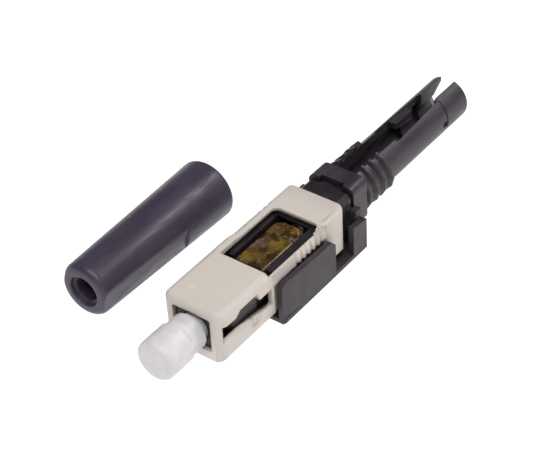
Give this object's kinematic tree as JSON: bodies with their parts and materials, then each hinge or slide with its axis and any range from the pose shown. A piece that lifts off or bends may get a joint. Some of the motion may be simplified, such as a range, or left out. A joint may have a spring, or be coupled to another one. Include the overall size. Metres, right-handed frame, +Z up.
{
  "type": "sc fibre connector",
  "caption": "Field-installable SC fibre connector with its dust cap on, seated on its wedge release clip, with a slotted threaded cable clamp at the rear and the screw-on boot laid beside it.",
  "frame": {"origin": "middle of the release clip's flat underside, where the connector stands", "axes": "+X is the mating direction, out of the ferrule end; +Z is up, away from the clip's underside; +Y is to the left when looking along +X. The optical axis is parallel to X, 5.10 mm above the origin."},
  "size_m": [0.0642, 0.0256, 0.0088],
  "materials": {
    "housing_beige": "fine moulded, slightly worn",
    "frame_brown": "fine moulded",
    "zirconia": "polished",
    "holder_metal": "turned",
    "silica": "clear",
    "splice_amber": "translucent amber",
    "sleeve_amber": "translucent amber, bright rims",
    "body_black": "fine moulded",
    "guide_white": "smooth",
    "spring_steel": "drawn wire",
    "clamp_black": "fine moulded",
    "boot_rubber": "soft, dark slate grey",
    "cap_white": "translucent white, frosted",
    "clip_black": "moulded",
    "wedge_white": "smooth"
  },
  "bodies": {
    "clip": {"release_clip": "clip_black", "splice_wedge": "wedge_white", "boot": "boot_rubber"},
    "connector": {"plug_frame": "frame_brown", "rear_body": "body_black", "fibre_guide": "guide_white", "cable_clamp": "clamp_black", "coil_spring": "spring_steel"},
    "grip": {"outer_housing": "housing_beige"},
    "optic": {"ferrule": "zirconia", "ferrule_holder": "holder_metal", "fibre_stub": "silica", "splice_base": "splice_amber", "splice_sleeve": "sleeve_amber"},
    "lid_front": {"splice_lid_front": "splice_amber"},
    "lid_rear": {"splice_lid_rear": "splice_amber"},
    "cap": {"dust_cap": "cap_white"}
  },
  "joints": [
    {"name": "clip_lift", "type": "slide", "parent": "clip", "child": "connector", "axis": [0, 0, 1], "range_m": [0, 0.012]},
    {"name": "grip_slide", "type": "slide", "parent": "connector", "child": "grip", "axis": [-1, 0, 0], "range_m": [0, 0.0015]},
    {"name": "ferrule_float", "type": "slide", "parent": "connector", "child": "optic", "axis": [-1, 0, 0], "range_m": [0, 0.0008], "stiffness_N_per_m": 500, "deforming": ["coil_spring"]},
    {"name": "lid_front_swing", "type": "hinge", "parent": "optic", "child": "lid_front", "pos_m": [0, 0.00011, 0.0064], "axis": [1, 0, 0], "range_deg": [-3, 0]},
    {"name": "lid_rear_swing", "type": "hinge", "parent": "optic", "child": "lid_rear", "pos_m": [0, 0.00011, 0.0064], "axis": [1, 0, 0], "range_deg": [-3, 0]},
    {"name": "cap_pull", "type": "slide", "parent": "optic", "child": "cap", "axis": [1, 0, 0], "range_m": [0, 0.018]}
  ],
  "couplings": [
    {"joint": "lid_front_swing", "follows": "clip_lift", "rad_per_m": -4.3633},
    {"joint": "lid_rear_swing", "follows": "clip_lift", "rad_per_m": -4.3633}
  ]
}
